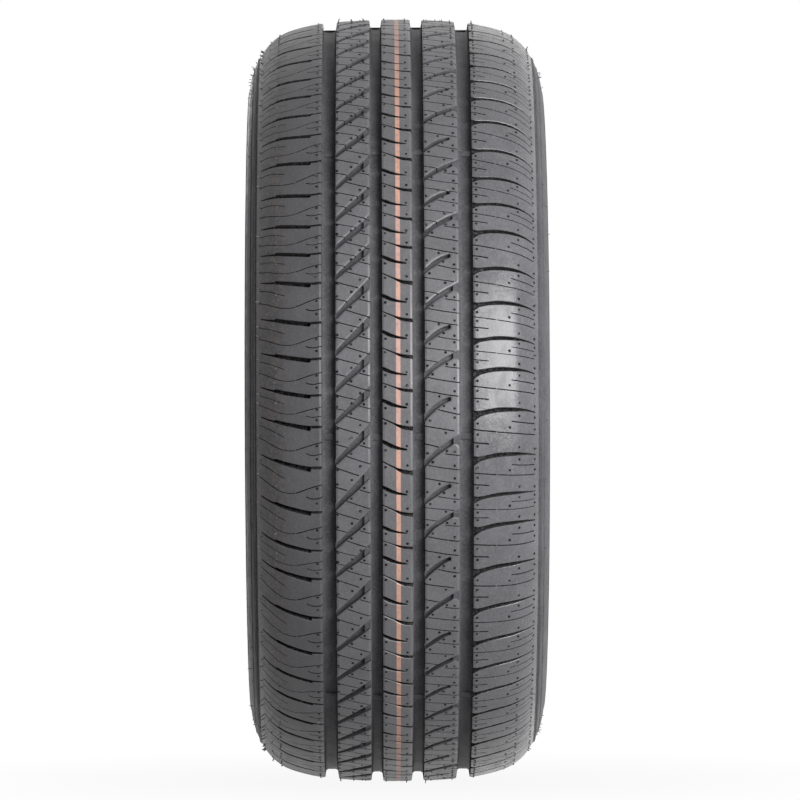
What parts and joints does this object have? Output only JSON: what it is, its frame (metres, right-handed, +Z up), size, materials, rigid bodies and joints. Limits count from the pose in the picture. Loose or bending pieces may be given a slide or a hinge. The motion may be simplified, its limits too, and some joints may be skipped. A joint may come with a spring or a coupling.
{
  "type": "car tyre",
  "caption": "Low-profile road tyre with ribbed tread, rounded shoulders, rim guard ribs and two bead seats.",
  "frame": {"origin": "centre of the tyre, on its spin axis and in its middle plane", "axes": "+Y along the spin axis, +Z up, the tyre standing on its tread as it rolls along X"},
  "size_m": [0.653, 0.2494, 0.653],
  "materials": {
    "tyre": "satin moulded rubber, new, with a little dust"
  },
  "bodies": {
    "root": {"tyre": "tyre"}
  },
  "joints": []
}
